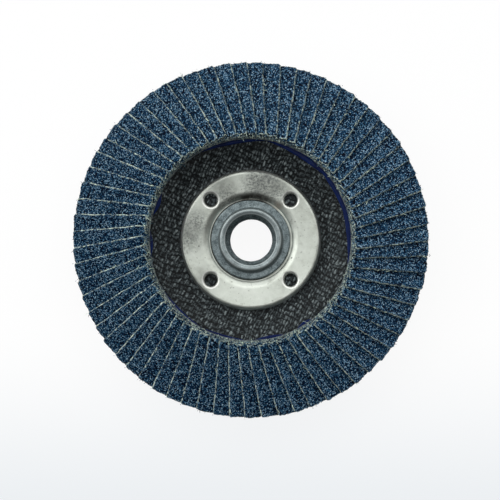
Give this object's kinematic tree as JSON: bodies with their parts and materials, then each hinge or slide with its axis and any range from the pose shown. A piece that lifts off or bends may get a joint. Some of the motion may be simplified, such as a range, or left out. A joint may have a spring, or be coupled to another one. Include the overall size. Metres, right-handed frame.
{
  "type": "flap disc",
  "caption": "Conical screw-on flap disc for an angle grinder: overlapping abrasive cloth flaps on a fibreglass backing plate, with a steel front flange and a threaded steel hub.",
  "frame": {"origin": "on the spindle axis, at the rear end of the hub, where the disc stands with its flaps up", "axes": "+Z along the spindle axis from the hub's rear end to the flap side; +X and +Y in the plane of the disc, with the first flap at 88 degrees from +X towards +Y"},
  "size_m": [0.1149, 0.115, 0.0236],
  "materials": {
    "abrasive_cloth": "blue zirconia grit bonded to cream cotton cloth, frayed at the cut edges",
    "epoxy": "cured blue epoxy, uneven at its inner edge",
    "fibreglass": "black resin over a coarse woven glass cloth",
    "pressed_steel": "bright plated sheet steel, tumbled, with small nicks",
    "hub_steel": "matte zinc plating"
  },
  "bodies": {
    "root": {"adhesive_bed": "epoxy", "backing_plate": "fibreglass", "flap_67": "abrasive_cloth", "flaps_01_02": "abrasive_cloth", "flaps_03_04": "abrasive_cloth", "flaps_05_06": "abrasive_cloth", "flaps_07_08": "abrasive_cloth", "flaps_09_10": "abrasive_cloth", "flaps_11_12": "abrasive_cloth", "flaps_13_14": "abrasive_cloth", "flaps_15_16": "abrasive_cloth", "flaps_17_18": "abrasive_cloth", "flaps_19_20": "abrasive_cloth", "flaps_21_22": "abrasive_cloth", "flaps_23_24": "abrasive_cloth", "flaps_25_26": "abrasive_cloth", "flaps_27_28": "abrasive_cloth", "flaps_29_30": "abrasive_cloth", "flaps_31_32": "abrasive_cloth", "flaps_33_34": "abrasive_cloth", "flaps_35_36": "abrasive_cloth", "flaps_37_38": "abrasive_cloth", "flaps_39_40": "abrasive_cloth", "flaps_41_42": "abrasive_cloth", "flaps_43_44": "abrasive_cloth", "flaps_45_46": "abrasive_cloth", "flaps_47_48": "abrasive_cloth", "flaps_49_50": "abrasive_cloth", "flaps_51_52": "abrasive_cloth", "flaps_53_54": "abrasive_cloth", "flaps_55_56": "abrasive_cloth", "flaps_57_58": "abrasive_cloth", "flaps_59_60": "abrasive_cloth", "flaps_61_62": "abrasive_cloth", "flaps_63_64": "abrasive_cloth", "flaps_65_66": "abrasive_cloth", "front_flange": "pressed_steel", "threaded_hub": "hub_steel"}
  },
  "joints": []
}
